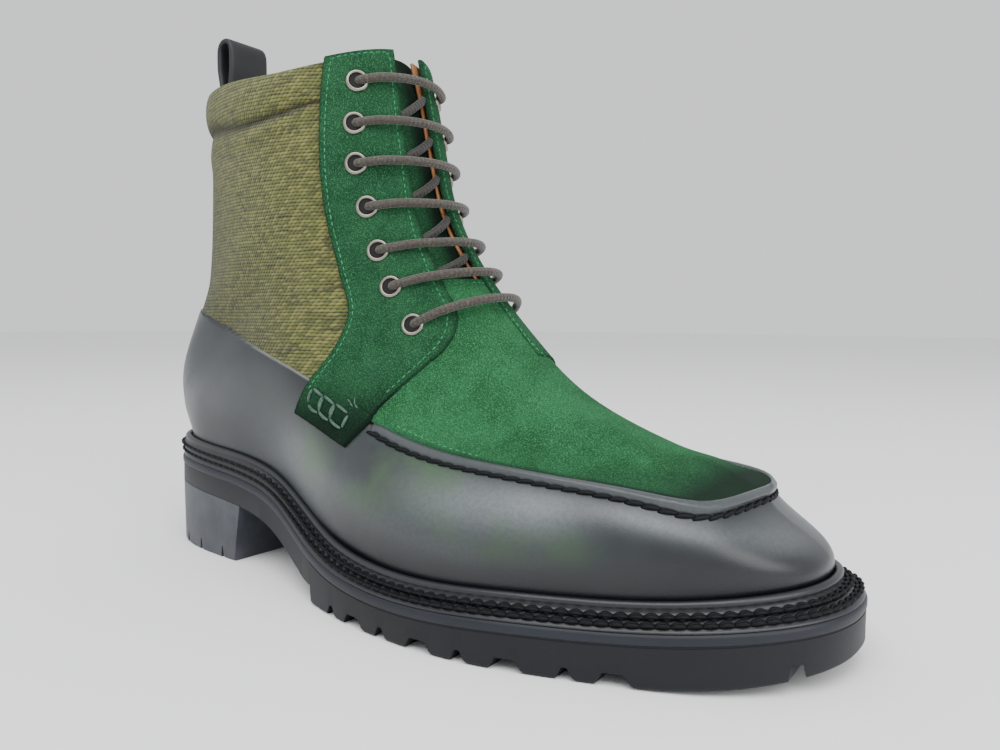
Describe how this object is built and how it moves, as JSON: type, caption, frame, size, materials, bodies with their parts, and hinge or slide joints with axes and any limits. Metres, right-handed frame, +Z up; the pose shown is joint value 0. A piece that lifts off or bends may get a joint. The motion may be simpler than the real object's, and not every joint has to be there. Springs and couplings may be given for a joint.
{
  "type": "lace-up boot",
  "caption": "Ankle-high lace-up boot for the right foot with a moccasin apron, suede eyestays, a pull loop at the heel, stacked lugged sole and block heel.",
  "frame": {"origin": "middle of the boot's bounding box, on the floor that it stands on", "axes": "+X to the toe, +Y to the wearer's inner side, +Z up"},
  "size_m": [0.3028, 0.1154, 0.2297],
  "materials": {
    "tread_rubber": "matt, moulded",
    "heel_rubber": "satin, moulded",
    "band_rubber": "satin, trimmed edge",
    "welt_leather": "waxed, satin",
    "lining_leather": "vegetable tan, matt",
    "upper_leather": "burnished, semi gloss",
    "suede": "suede nap",
    "strap_leather": "satin",
    "lace": "waxed cord",
    "eyelet": "nickel plated, satin"
  },
  "bodies": {
    "root": {"outsole": "tread_rubber", "heel": "heel_rubber", "midsole": "band_rubber", "welt": "welt_leather", "insole": "lining_leather", "upper": "upper_leather", "tongue": "suede", "eyestay_outer": "suede", "eyestay_inner": "suede", "apron_piping": "upper_leather", "pull_loop": "strap_leather", "laces": "lace", "eyelet_outer_1": "eyelet", "eyelet_inner_1": "eyelet", "eyelet_outer_2": "eyelet", "eyelet_inner_2": "eyelet", "eyelet_outer_3": "eyelet", "eyelet_inner_3": "eyelet", "eyelet_outer_4": "eyelet", "eyelet_inner_4": "eyelet", "eyelet_outer_5": "eyelet", "eyelet_inner_5": "eyelet", "eyelet_outer_6": "eyelet", "eyelet_inner_6": "eyelet", "eyelet_outer_7": "eyelet", "eyelet_inner_7": "eyelet"}
  },
  "joints": []
}
